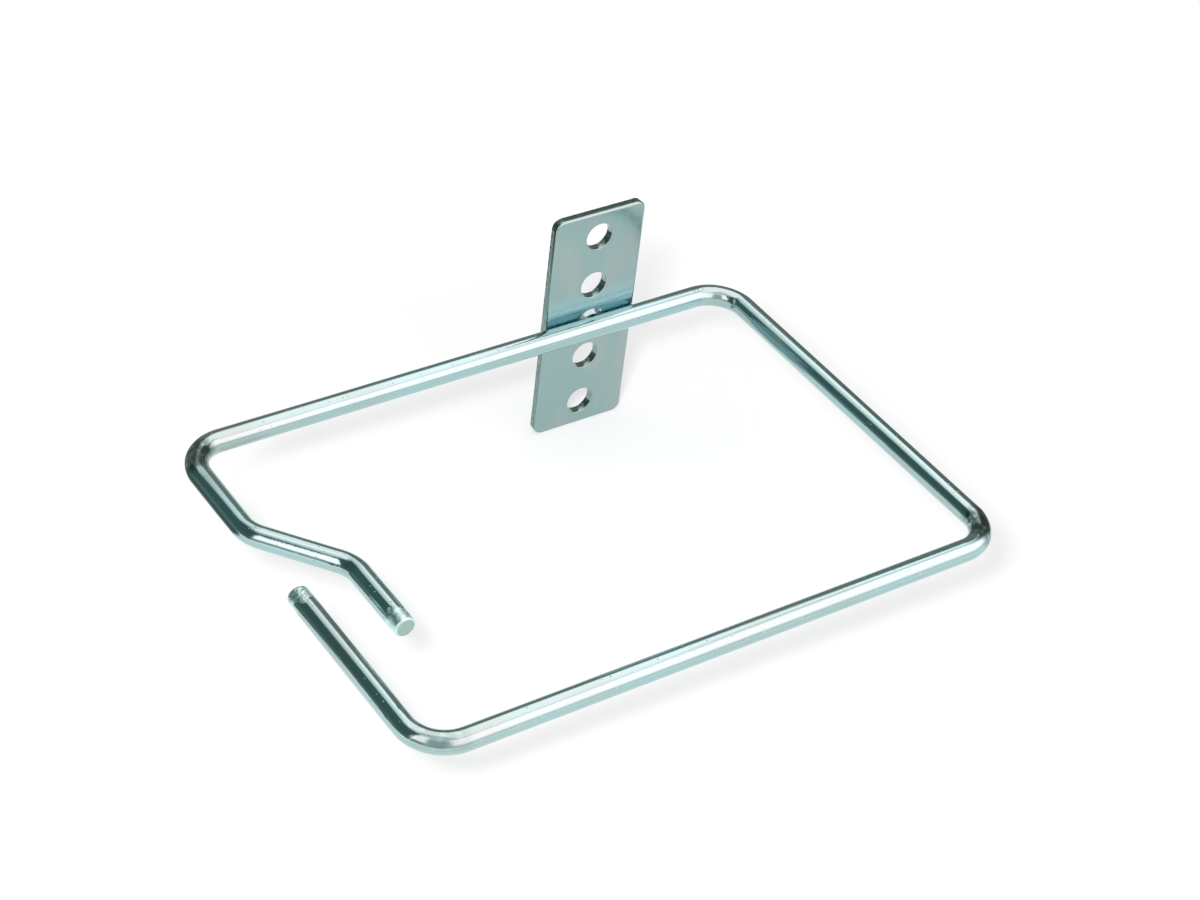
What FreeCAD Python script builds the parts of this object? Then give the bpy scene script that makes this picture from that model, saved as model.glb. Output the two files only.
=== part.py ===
import FreeCAD, Part
import math
import os

import Sketcher
from FreeCAD import Placement, Rotation, Vector

# Cable management ring: a bent wire ring with an open, overlapping side entry, welded to a flat
# plate that is screwed to a rack rail or a cabinet frame.
#
# Frame: the origin is the centre of the plate's back face, at the height of the ring. +Y points out
# of the back face, into the rail. +Z is up along the plate. The ring lies in the plane Z = 0 and
# reaches forward along -Y. Millimetres throughout.

TOUCH = 1e-4

# Driving dimensions: alias, value, and what it measures.
DIMENSIONS = [
    ("wire_dia", 4.8, "diameter of the drawn wire"),
    ("ring_wide", 140.0, "ring, side to side, outside"),
    ("ring_deep", 102.0, "ring, back to front, outside"),
    ("bend_inner", 6.0, "radius of the mandrel that every bend is formed on"),
    ("entry_gap", 9.0, "clear gap between the two overlapping ends"),
    ("jog_lead", 25.6, "back run's centre line to the start of the jog"),
    ("jog_angle", 38.0, "turn of each of the two jog bends, in degrees"),
    ("tail_reach", 66.3, "back run's centre line to the tip of the jogged end"),
    ("front_leg", 48.7, "front run's centre line to the tip of the straight end"),
    ("end_round", 0.5, "rounding of the cut wire ends"),
    ("plate_wide", 23.0, "plate, side to side"),
    ("plate_tall", 57.0, "plate, bottom to top"),
    ("plate_thick", 2.0, "plate thickness"),
    ("plate_corner", 2.2, "radius of the plate's corners"),
    ("plate_edge", 0.5, "rolled-over edge that the blanking die leaves on the front"),
    ("plate_from_right", 37.0, "ring's right outside to the plate's centre line"),
    ("hole_dia", 6.5, "clearance hole for the rack screw"),
    ("hole_edge", 0.15, "broken rim that the punch leaves on the front"),
    ("outer_pitch", 44.45, "spacing of the outer pair of holes"),
    ("inner_pitch", 19.05, "spacing of the inner pair of holes"),
    ("weld_gap", 0.2, "gap that the weld leaves between wire and plate"),
    ("nugget_dia", 6.6, "diameter of the weld nugget"),
    ("nugget_tall", 1.0, "height of the weld nugget above the plate"),
    ("nugget_edge", 0.5, "rounding of the nugget's rim"),
]

# Derived places, as expressions of the driving dimensions.
BEND = "(Dimensions.bend_inner + Dimensions.wire_dia / 2)"
RIGHT_X = "(Dimensions.plate_from_right - Dimensions.wire_dia / 2)"
LEFT_X = f"({RIGHT_X} - Dimensions.ring_wide + Dimensions.wire_dia)"
TAIL_X = f"({LEFT_X} + Dimensions.entry_gap + Dimensions.wire_dia)"
BACK_Y = "(-Dimensions.plate_thick - Dimensions.weld_gap - Dimensions.wire_dia / 2)"
FRONT_Y = f"({BACK_Y} - Dimensions.ring_deep + Dimensions.wire_dia)"
JOG_Y = f"({BACK_Y} - Dimensions.jog_lead)"
TAIL_TIP_Y = f"({BACK_Y} - Dimensions.tail_reach)"
LEG_TIP_Y = f"({FRONT_Y} + Dimensions.front_leg)"

doc = FreeCAD.newDocument("cable_ring")


def make_sheet():
    """Put the driving dimensions in a spreadsheet, one named cell to a row."""
    sheet = doc.addObject("Spreadsheet::Sheet", "Dimensions")
    for row, (alias, value, meaning) in enumerate(DIMENSIONS, start=1):
        sheet.set(f"A{row}", meaning)
        sheet.set(f"B{row}", str(value))
        sheet.setAlias(f"B{row}", alias)
    doc.recompute()
    return sheet


def value_of(expression):
    """Number that an expression of the sheet's cells has now."""
    return float(SHEET.evalExpression(expression.replace("Dimensions.", "")))


def make_body(label):
    """New body whose label names the sub-part."""
    body = doc.addObject("PartDesign::Body", label)
    body.Label = label
    return body


def make_sketch(body, name, plane, offset=None):
    """Sketch on one of the body's origin planes, raised along the plane's own axes by expressions."""
    sketch = body.newObject("Sketcher::SketchObject", name)
    support = next(item for item in body.Origin.OriginFeatures if item.Role == plane)
    sketch.AttachmentSupport = [(support, "")]
    sketch.MapMode = "FlatFace"
    sketch.AttachmentOffset = Placement(Vector(), Rotation())
    for axis, expression in (offset or {}).items():
        sketch.setExpression(f"AttachmentOffset.Base.{axis}", expression)
    return sketch


def bind(sketch, name, constraint, expression):
    """Add a named constraint and drive it by an expression of the sheet."""
    index = sketch.addConstraint(constraint)
    sketch.renameConstraint(index, name)
    sketch.setExpression(f"Constraints.{name}", expression)


def add_circle(sketch, name, diameter, centre_x="0", centre_y="0"):
    """Circle whose diameter and centre follow the sheet."""
    centre = Vector(value_of(centre_x), value_of(centre_y), 0)
    size = value_of(diameter)
    circle = sketch.addGeometry(Part.Circle(centre, Vector(0, 0, 1), size / 2))
    bind(sketch, f"{name}_dia", Sketcher.Constraint("Diameter", circle, size), diameter)
    bind(sketch, f"{name}_x", Sketcher.Constraint("DistanceX", circle, 3, centre.x), centre_x)
    bind(sketch, f"{name}_y", Sketcher.Constraint("DistanceY", circle, 3, centre.y), centre_y)


def add_rounded_chain(sketch, corners, radius, closed):
    """Straight runs through the corner points, joined by tangent arcs of one radius.

    Returns the geometry numbers of the runs, in order.
    """
    size = value_of(radius)
    count = len(corners)
    turns = range(count) if closed else range(1, count - 1)
    entries, exits, arcs = {}, {}, {}
    for turn in turns:
        corner = corners[turn]
        incoming = (corner - corners[turn - 1]).normalize()
        outgoing = (corners[(turn + 1) % count] - corner).normalize()
        left_turn = incoming.cross(outgoing).z > 0
        setback = size * math.tan(incoming.getAngle(outgoing) / 2)
        entries[turn] = corner - incoming * setback
        exits[turn] = corner + outgoing * setback
        side = Vector(-incoming.y, incoming.x, 0) * (1 if left_turn else -1)
        centre = entries[turn] + side * size
        ends = [entries[turn], exits[turn]] if left_turn else [exits[turn], entries[turn]]
        angles = [math.atan2(end.y - centre.y, end.x - centre.x) for end in ends]
        circle = Part.Circle(centre, Vector(0, 0, 1), size)
        arcs[turn] = (sketch.addGeometry(Part.ArcOfCircle(circle, *angles)), left_turn)
    runs = {}
    for start in range(count if closed else count - 1):
        end = (start + 1) % count
        line = Part.LineSegment(exits.get(start, corners[start]), entries.get(end, corners[end]))
        runs[start] = sketch.addGeometry(line)
    for turn, (arc, left_turn) in arcs.items():
        entry, leave = (1, 2) if left_turn else (2, 1)
        sketch.addConstraint(Sketcher.Constraint("Tangent", runs[(turn - 1) % count], 2, arc, entry))
        sketch.addConstraint(Sketcher.Constraint("Tangent", arc, leave, runs[turn], 1))
    numbers = [arc for arc, _ in arcs.values()]
    bind(sketch, "bend", Sketcher.Constraint("Radius", numbers[0], size), radius)
    for arc in numbers[1:]:
        sketch.addConstraint(Sketcher.Constraint("Equal", numbers[0], arc))
    return list(runs.values())


def edges_where(shape, wanted):
    """Names of the shape's edges that pass a test."""
    return [f"Edge{number}" for number, edge in enumerate(shape.Edges, start=1) if wanted(edge)]


def lies_at_y(edge, level):
    """Whether an edge lies flat in the plane Y = level."""
    box = edge.BoundBox
    return abs(box.YMin - level) < TOUCH and abs(box.YMax - level) < TOUCH


def is_circle_of(edge, diameter):
    """Whether an edge runs round a circle of the given diameter."""
    return isinstance(edge.Curve, Part.Circle) and abs(edge.Curve.Radius - diameter / 2) < TOUCH


def round_edges(body, name, base, wanted, radius):
    """Fillet the edges of a feature that pass a test."""
    doc.recompute()
    fillet = body.newObject("PartDesign::Fillet", name)
    fillet.Base = (base, edges_where(base.Shape, wanted))
    fillet.setExpression("Radius", radius)
    return fillet


def bevel_edges(body, name, base, wanted, size):
    """Chamfer the edges of a feature that pass a test."""
    doc.recompute()
    chamfer = body.newObject("PartDesign::Chamfer", name)
    chamfer.Base = (base, edges_where(base.Shape, wanted))
    chamfer.setExpression("Size", size)
    return chamfer


def cut_through(body, name, sketch):
    """Pocket a sketch right through the body, both ways, and check that it took material away."""
    doc.recompute()
    before = body.Shape.Volume
    pocket = body.newObject("PartDesign::Pocket", name)
    pocket.Profile = sketch
    pocket.Midplane = True
    pocket.Type = "ThroughAll"
    doc.recompute()
    if body.Shape.Volume > before - TOUCH:
        raise RuntimeError(f"{name} cuts nothing")
    return pocket


def draw_wire_path(body):
    """Centre line of the bent wire, from the tip of the jogged end round to the straight end's tip."""
    sketch = make_sketch(body, "WirePath", "XY_Plane")
    left, right, tail = value_of(LEFT_X), value_of(RIGHT_X), value_of(TAIL_X)
    back, front = value_of(BACK_Y), value_of(FRONT_Y)
    jog = math.radians(value_of("Dimensions.jog_angle"))
    jog_top = value_of(JOG_Y) - value_of(BEND) * math.tan(jog / 2)
    jog_foot = jog_top - (tail - left) / math.tan(jog)
    corners = [
        Vector(tail, value_of(TAIL_TIP_Y), 0),
        Vector(tail, jog_foot, 0),
        Vector(left, jog_top, 0),
        Vector(left, back, 0),
        Vector(right, back, 0),
        Vector(right, front, 0),
        Vector(left, front, 0),
        Vector(left, value_of(LEG_TIP_Y), 0),
    ]
    runs = add_rounded_chain(sketch, corners, BEND, closed=False)
    tail_run, jog_run, back_leg, back_run, right_run, front_run, front_leg = runs
    for upright in (tail_run, back_leg, right_run, front_leg):
        sketch.addConstraint(Sketcher.Constraint("Vertical", upright))
    for level in (back_run, front_run):
        sketch.addConstraint(Sketcher.Constraint("Horizontal", level))
    places = [
        ("tail_x", "DistanceX", tail_run, 1, TAIL_X),
        ("tail_tip_y", "DistanceY", tail_run, 1, TAIL_TIP_Y),
        ("left_x", "DistanceX", back_leg, 1, LEFT_X),
        ("jog_y", "DistanceY", back_leg, 1, JOG_Y),
        ("back_y", "DistanceY", back_run, 1, BACK_Y),
        ("right_x", "DistanceX", right_run, 1, RIGHT_X),
        ("front_y", "DistanceY", front_run, 1, FRONT_Y),
        ("leg_x", "DistanceX", front_leg, 2, LEFT_X),
        ("leg_tip_y", "DistanceY", front_leg, 2, LEG_TIP_Y),
    ]
    for name, kind, line, point, expression in places:
        bind(sketch, name, Sketcher.Constraint(kind, line, point, value_of(expression)), expression)
    lean = Sketcher.Constraint("Angle", jog_run, math.pi / 2 + jog)
    bind(sketch, "jog_lean", lean, "90 deg + Dimensions.jog_angle * 1 deg")
    return sketch


def make_wire_ring():
    """Ring bent from one length of round wire, with its two cut ends rounded off."""
    body = make_body("wire_ring")
    path = draw_wire_path(body)
    start = {"x": TAIL_X, "z": f"-{TAIL_TIP_Y}"}
    section = make_sketch(body, "WireSection", "XZ_Plane", start)
    add_circle(section, "wire", "Dimensions.wire_dia")
    doc.recompute()
    sweep = body.newObject("PartDesign::AdditivePipe", "WireSweep")
    sweep.Profile = section
    sweep.Spine = (path, [f"Edge{number + 1}" for number in range(len(path.Shape.Edges))])
    doc.recompute()
    drawn = path.Shape.Length * math.pi * value_of("Dimensions.wire_dia") ** 2 / 4
    if abs(sweep.Shape.Volume / drawn - 1) > TOUCH:
        raise RuntimeError("the swept wire has not the volume of its length")
    tips = [value_of(TAIL_TIP_Y), value_of(LEG_TIP_Y)]
    round_edges(body, "WireEnds", sweep, lambda edge: any(lies_at_y(edge, tip) for tip in tips),
                "Dimensions.end_round")
    return body


def make_mounting_plate():
    """Blanked and punched plate: rounded corners, holes in one line, front edges rolled over."""
    body = make_body("mounting_plate")
    outline = make_sketch(body, "PlateOutline", "XZ_Plane")
    half_wide, half_tall = "Dimensions.plate_wide / 2", "Dimensions.plate_tall / 2"
    reach, rise = value_of(half_wide), value_of(half_tall)
    corners = [Vector(-reach, -rise, 0), Vector(reach, -rise, 0), Vector(reach, rise, 0),
               Vector(-reach, rise, 0)]
    runs = add_rounded_chain(outline, corners, "Dimensions.plate_corner", closed=True)
    bottom, right, top, left = runs
    for line, turned, kind, name, size, sign in (
            (bottom, "Horizontal", "DistanceY", "bottom", half_tall, -1),
            (right, "Vertical", "DistanceX", "right", half_wide, 1),
            (top, "Horizontal", "DistanceY", "top", half_tall, 1),
            (left, "Vertical", "DistanceX", "left", half_wide, -1)):
        outline.addConstraint(Sketcher.Constraint(turned, line))
        place = Sketcher.Constraint(kind, line, 1, sign * value_of(size))
        bind(outline, name, place, f"{sign} * {size}")
    doc.recompute()
    blank = body.newObject("PartDesign::Pad", "PlateBlank")
    blank.Profile = outline
    blank.setExpression("Length", "Dimensions.plate_thick")
    holes = make_sketch(body, "PlateHoles", "XZ_Plane")
    for pair in ("outer", "inner"):
        for end, sign in (("top", 1), ("bottom", -1)):
            height = f"{sign} * Dimensions.{pair}_pitch / 2"
            add_circle(holes, f"{pair}_{end}", "Dimensions.hole_dia", centre_y=height)
    punched = cut_through(body, "PlatePunch", holes)
    front = -value_of("Dimensions.plate_thick")
    hole = value_of("Dimensions.hole_dia")
    edged = round_edges(body, "PlateEdge", punched,
                        lambda edge: lies_at_y(edge, front) and not is_circle_of(edge, hole),
                        "Dimensions.plate_edge")
    bevel_edges(body, "HoleRims", edged,
                lambda edge: lies_at_y(edge, front) and is_circle_of(edge, hole),
                "Dimensions.hole_edge")
    return body


def make_weld_nugget():
    """Button of fused metal between wire and plate: flat on the plate, saddled round the wire."""
    body = make_body("weld_nugget")
    disc = make_sketch(body, "NuggetDisc", "XZ_Plane", {"z": "Dimensions.plate_thick"})
    add_circle(disc, "nugget", "Dimensions.nugget_dia")
    doc.recompute()
    button = body.newObject("PartDesign::Pad", "NuggetButton")
    button.Profile = disc
    button.setExpression("Length", "Dimensions.nugget_tall")
    crown = value_of("-Dimensions.plate_thick - Dimensions.nugget_tall")
    round_edges(body, "NuggetRim", button, lambda edge: lies_at_y(edge, crown),
                "Dimensions.nugget_edge")
    saddle = make_sketch(body, "NuggetSaddle", "YZ_Plane")
    add_circle(saddle, "wire", "Dimensions.wire_dia", centre_x=BACK_Y)
    cut_through(body, "NuggetSeat", saddle)
    return body


def check_document(bodies):
    """Stop if any object failed or any sub-part is not one valid solid."""
    doc.recompute()
    for item in doc.Objects:
        if {"Invalid", "Error"} & set(item.State):
            raise RuntimeError(f"{item.Name} failed: {item.State}")
    for body in bodies:
        shape = body.Shape
        if shape.isNull() or not shape.isValid() or len(shape.Solids) != 1:
            raise RuntimeError(f"{body.Label} is not one valid solid")


SHEET = make_sheet()
sub_parts = [make_wire_ring(), make_mounting_plate(), make_weld_nugget()]
check_document(sub_parts)
os.makedirs("parts", exist_ok=True)
for sub_part in sub_parts:
    sub_part.Shape.exportStep(f"parts/{sub_part.Label}.step")
    box = sub_part.Shape.optimalBoundingBox()
    print(f"{sub_part.Label}: {sub_part.Shape.Volume:.1f} mm3, X {box.XMin:.2f} to {box.XMax:.2f}, "
          f"Y {box.YMin:.2f} to {box.YMax:.2f}, Z {box.ZMin:.2f} to {box.ZMax:.2f}")
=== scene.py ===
"""Looks of the cable management ring: a bent wire ring welded to a punched plate, in bright zinc.

The part's frame is in metres. The origin is the centre of the plate's back face, +Y points into the
rail, +Z is up along the plate, and the ring lies in the plane Z = 0 and reaches forward along -Y.
The ring is shown standing on the bottom edge of its plate, on a white table that keeps its shadow.
"""

import logging
import math
from dataclasses import dataclass
from enum import Enum, IntEnum
from typing import ClassVar

import bmesh
import bpy
from mathutils import Matrix, Vector, noise

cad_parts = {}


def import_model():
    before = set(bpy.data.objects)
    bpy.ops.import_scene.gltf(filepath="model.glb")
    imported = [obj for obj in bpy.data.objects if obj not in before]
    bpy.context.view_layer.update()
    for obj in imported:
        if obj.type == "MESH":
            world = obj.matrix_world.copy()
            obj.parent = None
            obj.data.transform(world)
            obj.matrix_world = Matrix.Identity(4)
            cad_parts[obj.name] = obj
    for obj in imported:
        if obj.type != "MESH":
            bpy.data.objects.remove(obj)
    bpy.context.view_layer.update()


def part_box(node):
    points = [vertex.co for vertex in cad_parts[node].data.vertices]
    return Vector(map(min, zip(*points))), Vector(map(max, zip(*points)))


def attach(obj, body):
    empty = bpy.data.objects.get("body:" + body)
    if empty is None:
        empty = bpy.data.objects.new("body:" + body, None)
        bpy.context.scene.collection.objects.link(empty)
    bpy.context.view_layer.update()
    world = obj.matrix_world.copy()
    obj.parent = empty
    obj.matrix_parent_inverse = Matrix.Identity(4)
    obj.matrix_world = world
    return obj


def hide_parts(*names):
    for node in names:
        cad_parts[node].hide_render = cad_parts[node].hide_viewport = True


MM = 0.001
BODY = "root"
UP = Vector((0.0, 0.0, 1.0))
QUARTER = math.radians(90.0)
# name of the wire's attribute for its darkened bends: partly tool wear, partly painted dark reflection
WEAR_SHADE = "wear_shade"
MIX_COLOURS = (6, 7)
MIX_RESULT = 2

Triple = tuple[float, float, float]
Pair = tuple[float, float]
Counts = tuple[int, int]
Socket = bpy.types.NodeSocket

RISE: Pair = (0.0, 1.0)
FALL: Pair = (1.0, 0.0)

log = logging.getLogger("cable_ring")


class Pattern(Enum):
    """What a finish's pattern follows."""

    PLACE = "Object"
    UNBENT = "unbent"


class Node(Enum):
    """CAD nodes that the pieces stand for."""

    WIRE = "wire_ring"
    PLATE = "mounting_plate"
    WELD = "weld_nugget"


class Slot(Enum):
    """The record's material slots."""

    WIRE = "zinc_wire"
    PLATE = "zinc_plate"
    WELD = "weld_zinc"


class WireFace(IntEnum):
    """Material numbers of the wire's ends; the rest of it keeps nought."""

    CUT = 1
    WORKED = 2


class PlateFace(IntEnum):
    """Material numbers of the plate's faces."""

    FLAT = 0
    SHEARED = 1
    PUNCHED = 2


def ease(value: float, start: float, end: float) -> float:
    """Rise smoothly from nought at start to one at end."""
    share = min(1.0, max(0.0, (value - start) / (end - start)))
    return share * share * (3.0 - 2.0 * share)


def unevenness(place: Vector) -> float:
    """Soft noise at a place, from nought to one."""
    return 0.5 + 0.5 * noise.noise(place)


class NodeSheet:
    """The node tree of a material or of the world, with short ways to add and join nodes."""

    def __init__(self, owner: bpy.types.Material | bpy.types.World) -> None:
        """Start an empty tree.

        Args:
            owner: what the tree belongs to.
        """
        owner.use_nodes = True
        self.tree = owner.node_tree
        self.tree.nodes.clear()

    def add(self, kind: str, inputs: dict, **settings: object) -> bpy.types.Node:
        """Add one node.

        Args:
            kind: Blender's name for the node's type.
            inputs: a value or a socket to link, by the input's name or number.
            settings: the node's own properties.

        Returns:
            The new node.
        """
        node = self.tree.nodes.new(kind)
        for name, value in settings.items():
            setattr(node, name, value)
        for name, value in inputs.items():
            if isinstance(value, bpy.types.NodeSocket):
                self.tree.links.new(value, node.inputs[name])
            else:
                node.inputs[name].default_value = value
        return node

    def maths(self, operation: str, first: Socket | float, second: Socket | float = 0.0) -> Socket:
        """Join two numbers with one operation."""
        return self.add("ShaderNodeMath", {0: first, 1: second}, operation=operation).outputs[0]

    def span(self, value: Socket, source: Pair, target: Pair) -> Socket:
        """Map a number smoothly from one range to another, held at its ends.

        Args:
            value: the number.
            source: the range that it comes from.
            target: the range that it goes to.

        Returns:
            The mapped number.
        """
        inputs = {
            "Value": value,
            "From Min": source[0],
            "From Max": source[1],
            "To Min": target[0],
            "To Max": target[1],
        }
        node = self.add("ShaderNodeMapRange", inputs, interpolation_type="SMOOTHSTEP")
        return node.outputs["Result"]

    def band(self, value: Socket, ends: Pair, fades: Pair) -> Socket:
        """One between two ends and nought outside them, with a soft edge about each end.

        Args:
            value: the number.
            ends: where the band starts and stops.
            fades: how far each soft edge reaches to either side of its end.

        Returns:
            The share, from nought to one.
        """
        rise = self.span(value, (ends[0] - fades[0], ends[0] + fades[0]), RISE)
        fall = self.span(value, (ends[1] - fades[1], ends[1] + fades[1]), FALL)
        return self.maths("MULTIPLY", rise, fall)

    def mixed(self, share: Socket, first: Socket | Triple, second: Socket | Triple) -> Socket:
        """Mix two colours.

        Args:
            share: how much of the second colour shows.
            first: the first colour.
            second: the second colour.

        Returns:
            The mixed colour.
        """
        node = self.add("ShaderNodeMix", {"Factor": share}, data_type="RGBA")
        for number, colour in zip(MIX_COLOURS, (first, second)):
            if isinstance(colour, bpy.types.NodeSocket):
                self.tree.links.new(colour, node.inputs[number])
            else:
                node.inputs[number].default_value = (*colour, 1.0)
        return node.outputs[MIX_RESULT]

    def cloud(self, vector: Socket, size: float, detail: float = 2.0) -> Socket:
        """Soft noise whose patches are about as wide as size, in metres."""
        inputs = {"Vector": vector, "Scale": 1.0 / size, "Detail": detail}
        return self.add("ShaderNodeTexNoise", inputs).outputs["Fac"]

    def mapped(self, vector: Socket, scale: Triple, shift: Triple = (0.0, 0.0, 0.0)) -> Socket:
        """Scale and shift a pattern's coordinates."""
        inputs = {"Vector": vector, "Scale": scale, "Location": shift}
        return self.add("ShaderNodeMapping", inputs).outputs["Vector"]

    def place(self, pattern: Pattern) -> Socket:
        """Fetch the coordinates that a pattern follows.

        Args:
            pattern: what the pattern follows.

        Returns:
            The coordinates.
        """
        if pattern is Pattern.UNBENT:
            return self.add("ShaderNodeAttribute", {}, attribute_name=pattern.value).outputs["Vector"]
        return self.add("ShaderNodeTexCoord", {}).outputs[pattern.value]

    def output(self, kind: str, surface: Socket) -> None:
        """End the tree with an output node."""
        self.add(kind, {"Surface": surface})


@dataclass(frozen=True)
class Relief:
    """Fine unevenness of a surface: the size and height of its marks, and how they are drawn out."""

    size: float
    height: float
    stretch: Triple = (1.0, 1.0, 1.0)


@dataclass(frozen=True)
class ZincFinish:
    """Bright zinc plate under a thin blue-green passivate, with uneven tone, gloss and grain."""

    name: str
    pattern: Pattern
    main_tone: Triple
    blue_tone: Triple
    grey_tone: Triple
    patch: float
    roughness: Pair
    grains: tuple[Relief, ...]
    pits: Relief
    patch_stretch: Triple = (1.0, 1.0, 1.0)
    blue_shift: Triple = (0.0, 0.0, 0.0)
    grey_shift: Triple = (0.31, 0.17, 0.23)
    # dark tone of the bends: partly dull tool wear, partly painted dark reflection
    wear_shade_tone: Triple = (0.085, 0.135, 0.12)
    blue_range: Pair = (0.4, 0.6)
    grey_range: Pair = (0.46, 0.66)
    grey_share: float = 0.7
    gloss_range: Pair = (0.3, 0.7)
    gloss_share: float = 0.3
    gloss_detail: float = 4.0
    grain_detail: float = 3.0
    pit_share: float = 0.3
    pit_reach: float = 0.22

    def material(self) -> bpy.types.Material:
        """Make the finish's material.

        Returns:
            The material.
        """
        material = bpy.data.materials.new(self.name)
        sheet = NodeSheet(material)
        place = sheet.place(self.pattern)
        shader = sheet.add(
            "ShaderNodeBsdfPrincipled",
            {
                "Base Color": self.tone(sheet, place),
                "Metallic": 1.0,
                "Roughness": self.gloss(sheet, place),
                "Normal": self.relief(sheet, place),
            },
        )
        sheet.output("ShaderNodeOutputMaterial", shader.outputs["BSDF"])
        return material

    def tone(self, sheet: NodeSheet, place: Socket) -> Socket:
        """Let the colour drift between the passivate's tones over the piece.

        Args:
            sheet: the material's tree.
            place: the pattern's coordinates.

        Returns:
            The colour.
        """
        blue_place = sheet.mapped(place, self.patch_stretch, self.blue_shift)
        grey_place = sheet.mapped(place, self.patch_stretch, self.grey_shift)
        blue = sheet.span(sheet.cloud(blue_place, self.patch), self.blue_range, RISE)
        grey = sheet.span(sheet.cloud(grey_place, self.grey_share * self.patch), self.grey_range, RISE)
        plated = sheet.mixed(grey, sheet.mixed(blue, self.main_tone, self.blue_tone), self.grey_tone)
        # darken the bends: partly tool wear, partly painted dark reflection
        wear_shade = sheet.add("ShaderNodeAttribute", {}, attribute_name=WEAR_SHADE).outputs["Fac"]
        return sheet.mixed(wear_shade, plated, self.wear_shade_tone)

    def gloss(self, sheet: NodeSheet, place: Socket) -> Socket:
        """Roughness that varies within its range."""
        cloud = sheet.cloud(place, self.gloss_share * self.patch, self.gloss_detail)
        return sheet.span(cloud, self.gloss_range, self.roughness)

    def relief(self, sheet: NodeSheet, place: Socket) -> Socket:
        """Lay out the grain of the metal below the plating, with scattered pits.

        Args:
            sheet: the material's tree.
            place: the pattern's coordinates.

        Returns:
            The bumped normal.
        """
        cells = sheet.add("ShaderNodeTexVoronoi", {"Vector": place, "Scale": 1.0 / self.pits.size})
        lot = sheet.add("ShaderNodeSeparateColor", {"Color": cells.outputs["Color"]}).outputs["Red"]
        chosen = sheet.maths("LESS_THAN", lot, self.pit_share)
        depth = sheet.span(cells.outputs["Distance"], (0.0, self.pit_reach), FALL)
        hollow = sheet.maths("MULTIPLY", chosen, depth)
        inputs = {"Height": hollow, "Distance": self.pits.height}
        bump = sheet.add("ShaderNodeBump", inputs, invert=True)
        for grain in self.grains:
            height = sheet.cloud(sheet.mapped(place, grain.stretch), grain.size, self.grain_detail)
            inputs = {"Height": height, "Distance": grain.height, "Normal": bump.outputs["Normal"]}
            bump = sheet.add("ShaderNodeBump", inputs)
        return bump.outputs["Normal"]


@dataclass(frozen=True)
class ZincWithPaintedReflection(ZincFinish):
    """Zinc finish with a bluer band across its front at and just above the wire: a painted reflection of
    the wire.
    """

    # bluer band of the front at and just above the wire: painted reflection of the wire
    reflection_tone: Triple = (0.325, 0.515, 0.545)
    reflection_levels: Pair = (-1.0 * MM, 7.0 * MM)
    reflection_fades: Pair = (1.0 * MM, 2.4 * MM)
    reflection_depth: Pair = (-1.4 * MM, -0.6 * MM)

    def tone(self, sheet: NodeSheet, place: Socket) -> Socket:
        """Tint the plating's colour between two levels of the front, as a painted reflection of the wire.

        Args:
            sheet: the material's tree.
            place: the pattern's coordinates.

        Returns:
            The colour.
        """
        axes = sheet.add("ShaderNodeSeparateXYZ", {"Vector": place}).outputs
        level = sheet.band(axes["Z"], self.reflection_levels, self.reflection_fades)
        # painted reflection of the wire, on the front face only
        reflected = sheet.maths("MULTIPLY", level, sheet.span(axes["Y"], self.reflection_depth, FALL))
        return sheet.mixed(reflected, super().tone(sheet, place), self.reflection_tone)


WIRE_ZINC = ZincFinish(
    name="wire_zinc",
    pattern=Pattern.UNBENT,
    main_tone=(0.385, 0.545, 0.54),
    blue_tone=(0.385, 0.58, 0.595),
    grey_tone=(0.375, 0.50, 0.48),
    patch=55.0 * MM,
    roughness=(0.08, 0.15),
    grains=(Relief(0.3 * MM, 0.004 * MM, (1.0, 1.0, 0.05)), Relief(0.55 * MM, 0.010 * MM)),
    pits=Relief(1.0 * MM, 0.06 * MM),
)

WORKED_END_ZINC = ZincFinish(
    name="worked_end_zinc",
    pattern=Pattern.UNBENT,
    main_tone=(0.60, 0.84, 0.80),
    blue_tone=(0.59, 0.85, 0.83),
    grey_tone=(0.62, 0.81, 0.77),
    patch=2.0 * MM,
    roughness=(0.22, 0.48),
    grains=(Relief(0.6 * MM, 0.11 * MM), Relief(0.22 * MM, 0.04 * MM)),
    pits=Relief(0.6 * MM, 0.06 * MM),
)

CUT_END_ZINC = ZincFinish(
    name="cut_end_zinc",
    pattern=Pattern.UNBENT,
    main_tone=(0.37, 0.51, 0.47),
    blue_tone=(0.36, 0.51, 0.48),
    grey_tone=(0.38, 0.49, 0.45),
    patch=1.8 * MM,
    roughness=(0.34, 0.46),
    grains=(Relief(0.12 * MM, 0.008 * MM),),
    pits=Relief(0.6 * MM, 0.01 * MM),
)

# plate zinc with the wire's painted reflection across its front
PLATE_ZINC = ZincWithPaintedReflection(
    name="plate_zinc",
    pattern=Pattern.PLACE,
    main_tone=(0.31, 0.445, 0.435),
    blue_tone=(0.305, 0.45, 0.45),
    grey_tone=(0.355, 0.455, 0.44),
    patch=9.0 * MM,
    patch_stretch=(1.0, 1.0, 0.35),
    roughness=(0.13, 0.22),
    grains=(Relief(0.25 * MM, 0.003 * MM),),
    pits=Relief(1.7 * MM, 0.004 * MM),
)

SHEARED_ZINC = ZincFinish(
    name="sheared_edge_zinc",
    pattern=Pattern.PLACE,
    main_tone=(0.17, 0.26, 0.24),
    blue_tone=(0.13, 0.245, 0.23),
    grey_tone=(0.25, 0.315, 0.30),
    patch=1.6 * MM,
    roughness=(0.14, 0.24),
    grains=(Relief(0.3 * MM, 0.03 * MM, (1.0, 0.25, 1.0)),),
    pits=Relief(0.7 * MM, 0.02 * MM),
)

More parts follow.
